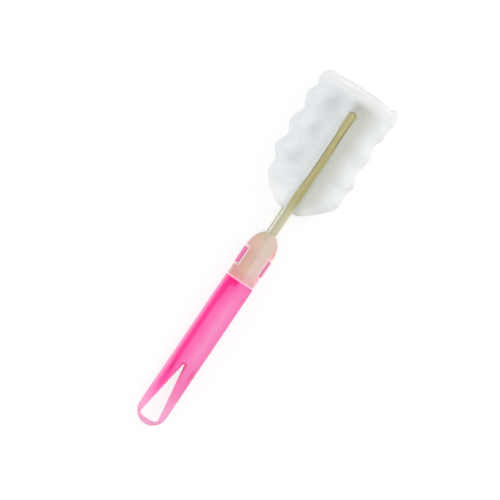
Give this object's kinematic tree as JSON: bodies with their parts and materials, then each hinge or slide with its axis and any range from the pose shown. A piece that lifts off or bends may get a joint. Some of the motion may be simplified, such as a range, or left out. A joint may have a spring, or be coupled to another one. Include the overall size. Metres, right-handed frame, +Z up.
{
  "type": "sponge dish brush",
  "caption": "long-handled sponge dish brush: hollow handle with a long hang opening, clip-on collar, slim clamping prongs and an egg-crate foam head",
  "frame": {"origin": "middle of the brush's plan on the surface it lies on", "axes": "+X from the loop end of the handle to the top of the sponge, +Y to the brush's left as seen from its front with the head up, +Z up, out of its front"},
  "size_m": [0.2694, 0.0626, 0.0276],
  "materials": {
    "pink_plastic": "gloss",
    "lug_plastic": "satin",
    "natural_plastic": "satin",
    "olive_plastic": "satin",
    "white_foam": "matte"
  },
  "bodies": {
    "handle": {"handle": "pink_plastic"},
    "left_latch": {"left_latch_tongue": "lug_plastic"},
    "right_latch": {"right_latch_tongue": "lug_plastic"},
    "head": {"collar": "natural_plastic"},
    "front_prong": {"front_prong": "olive_plastic"},
    "rear_prong": {"rear_prong": "olive_plastic"},
    "sponge": {"sponge": "white_foam"}
  },
  "joints": [
    {"name": "left_latch_press", "type": "hinge", "parent": "handle", "child": "left_latch", "pos_m": [-0.01829, 0.00353, 0.00969], "axis": [0.0337, 0, -0.9994], "range_deg": [0, 8], "stiffness_Nm_per_rad": 0.4},
    {"name": "right_latch_press", "type": "hinge", "parent": "handle", "child": "right_latch", "pos_m": [-0.01829, -0.00716, 0.00969], "axis": [-0.0337, 0, 0.9994], "range_deg": [0, 8], "stiffness_Nm_per_rad": 0.4},
    {"name": "head_pull_off", "type": "slide", "parent": "handle", "child": "head", "axis": [0.9994, 0, 0.0337], "range_m": [0, 0.035], "deforming": ["left_latch_tongue", "right_latch_tongue"]},
    {"name": "front_prong_open", "type": "hinge", "parent": "head", "child": "front_prong", "pos_m": [0.018, -0.00181, 0.01571], "axis": [0, -1, 0], "range_deg": [0, 5], "stiffness_Nm_per_rad": 1.1},
    {"name": "rear_prong_open", "type": "hinge", "parent": "head", "child": "rear_prong", "pos_m": [0.01832, -0.00181, 0.00612], "axis": [0, 1, 0], "range_deg": [0, 5], "stiffness_Nm_per_rad": 1.1},
    {"name": "sponge_pull_off", "type": "slide", "parent": "head", "child": "sponge", "axis": [0.9994, 0, 0.0337], "range_m": [0, 0.1]}
  ],
  "couplings": [
    {"joint": "rear_prong_open", "follows": "front_prong_open", "ratio": 1}
  ]
}
